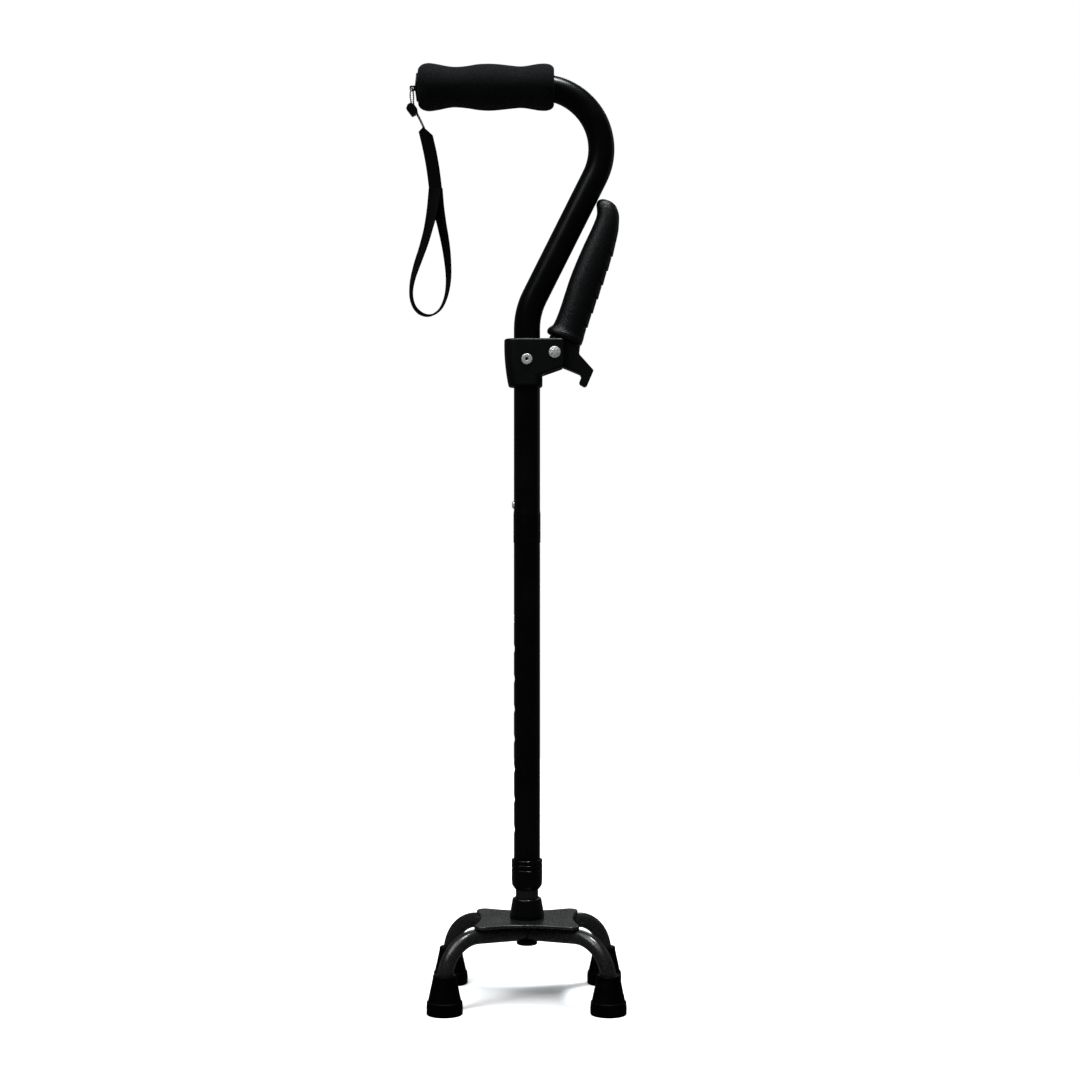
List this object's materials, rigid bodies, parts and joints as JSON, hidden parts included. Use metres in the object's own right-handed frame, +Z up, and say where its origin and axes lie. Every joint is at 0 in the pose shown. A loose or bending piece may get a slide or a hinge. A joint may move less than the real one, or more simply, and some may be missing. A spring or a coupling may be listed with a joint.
{
  "type": "quad walking cane",
  "caption": "Small-base quad walking cane: offset handle with foam grip, fold-down assist handle, wrist strap and a height-adjustable telescoping shaft on splayed rubber-footed legs.",
  "frame": {"origin": "on the shaft's axis at floor level, midway between the four feet", "axes": "+Z up along the shaft; the offset handle lies in the XZ plane, with its grip pointing to -X and the assist handle on the +X side"},
  "size_m": [0.1839, 0.134, 0.7897],
  "materials": {
    "pewter_steel": "dark gunmetal paint with a fine grain on steel",
    "grey_tube": "dark grey satin paint on aluminium tube",
    "black_tube": "satin black powder coat on aluminium tube",
    "foot_rubber": "matte moulded rubber",
    "black_plastic": "fine textured moulded plastic",
    "collar_plastic": "glossy moulded plastic",
    "nylon": "natural nylon",
    "grip_rubber": "pebbled moulded rubber",
    "foam": "matte closed-cell foam",
    "bright_metal": "bright plated steel",
    "spring_steel": "plain spring strip",
    "dark_button": "blackened steel",
    "webbing": "woven polyester webbing",
    "string": "twisted two-tone string, one dark and one pale ply"
  },
  "bodies": {
    "base": {"foot_front_left": "foot_rubber", "foot_front_right": "foot_rubber", "foot_rear_left": "foot_rubber", "foot_rear_right": "foot_rubber", "leg_front_left": "pewter_steel", "leg_front_right": "pewter_steel", "leg_rear_left": "pewter_steel", "leg_rear_right": "pewter_steel", "foot_washers": "spring_steel", "weld_tabs": "pewter_steel", "base_plate": "pewter_steel", "base_boot": "black_plastic", "lower_tube": "grey_tube", "bottom_plug": "black_plastic", "lower_clip": "spring_steel"},
    "lower_button": {"lower_button": "dark_button"},
    "shaft": {"middle_tube": "black_tube", "upper_clip": "spring_steel"},
    "split_ring": {"split_ring": "nylon"},
    "collar": {"lock_collar": "collar_plastic"},
    "upper_button": {"upper_button": "bright_metal"},
    "handle": {"handle_tube": "black_tube", "foam_grip": "foam", "end_plug": "black_plastic", "bracket": "black_plastic", "bracket_rivet": "bright_metal", "pivot_rivet": "bright_metal"},
    "assist_handle": {"assist_lever": "black_plastic", "assist_grip": "grip_rubber"},
    "strap": {"strap_string": "string", "cord_bead": "black_plastic", "strap_neck": "webbing", "strap_loop": "webbing"}
  },
  "joints": [
    {"name": "height_slide", "type": "slide", "parent": "base", "child": "shaft", "axis": [0, 0, 1], "range_m": [0, 0.1778], "deforming": ["lower_button", "lower_clip"]},
    {"name": "lower_button_press", "type": "slide", "parent": "base", "child": "lower_button", "axis": [1, 0, 0], "range_m": [0, 0.002], "stiffness_N_per_m": 1500, "springref_m": -0.004, "deforming": ["lower_clip"]},
    {"name": "ring_slide", "type": "slide", "parent": "shaft", "child": "split_ring", "axis": [0, 0, -1], "range_m": [0, 0.00075]},
    {"name": "collar_turn", "type": "hinge", "parent": "split_ring", "child": "collar", "pos_m": [0, 0, 0.105], "axis": [0, 0, -1], "range_deg": [0, 180]},
    {"name": "handle_pull_off", "type": "slide", "parent": "shaft", "child": "handle", "axis": [0, 0, 1], "range_m": [0, 0.0703], "deforming": ["upper_button", "upper_clip"]},
    {"name": "upper_button_press", "type": "slide", "parent": "shaft", "child": "upper_button", "axis": [1, 0, 0], "range_m": [0, 0.0032], "stiffness_N_per_m": 1500, "springref_m": -0.004, "deforming": ["upper_clip"]},
    {"name": "assist_fold", "type": "hinge", "parent": "handle", "child": "assist_handle", "pos_m": [0.0233, 0, 0.5447], "axis": [0, 1, 0], "range_deg": [0, 60]},
    {"name": "strap_swing", "type": "hinge", "parent": "handle", "child": "strap", "pos_m": [-0.0971, 0, 0.7688], "axis": [0, 1, 0], "range_deg": [-3, 80]}
  ],
  "couplings": [
    {"joint": "collar_turn", "follows": "ring_slide", "rad_per_m": 4188.8}
  ]
}
